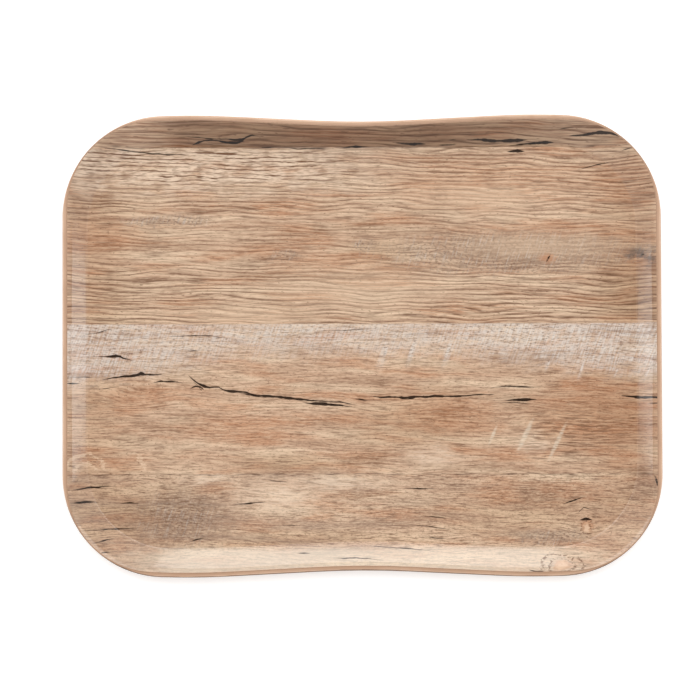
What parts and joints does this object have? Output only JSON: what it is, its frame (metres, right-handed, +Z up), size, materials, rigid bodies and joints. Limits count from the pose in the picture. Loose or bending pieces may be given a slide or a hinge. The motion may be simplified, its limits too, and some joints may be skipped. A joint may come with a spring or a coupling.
{
  "type": "serving tray",
  "caption": "Low rectangular serving tray with rounded corners, waisted long sides and a leaning rim, press-moulded from bonded veneers under a light-oak printed face.",
  "frame": {"origin": "centre of the underside, which rests on the table", "axes": "+X along the tray's length, +Y across it, +Z up out of its face"},
  "size_m": [0.43, 0.3316, 0.0145],
  "materials": {
    "clear_overlay": "clear satin melamine",
    "oak_decor": "printed weathered light oak",
    "long_grain_veneer": "sanded birch edge, along the grain",
    "cross_grain_veneer": "sanded birch edge, across the grain",
    "backing": "matt light-oak melamine"
  },
  "bodies": {
    "root": {"clear_overlay": "clear_overlay", "decor_sheet": "oak_decor", "face_veneer": "long_grain_veneer", "upper_cross_veneer": "cross_grain_veneer", "core_veneer": "long_grain_veneer", "lower_cross_veneer": "cross_grain_veneer", "back_veneer": "long_grain_veneer", "backing_sheet": "backing"}
  },
  "joints": []
}
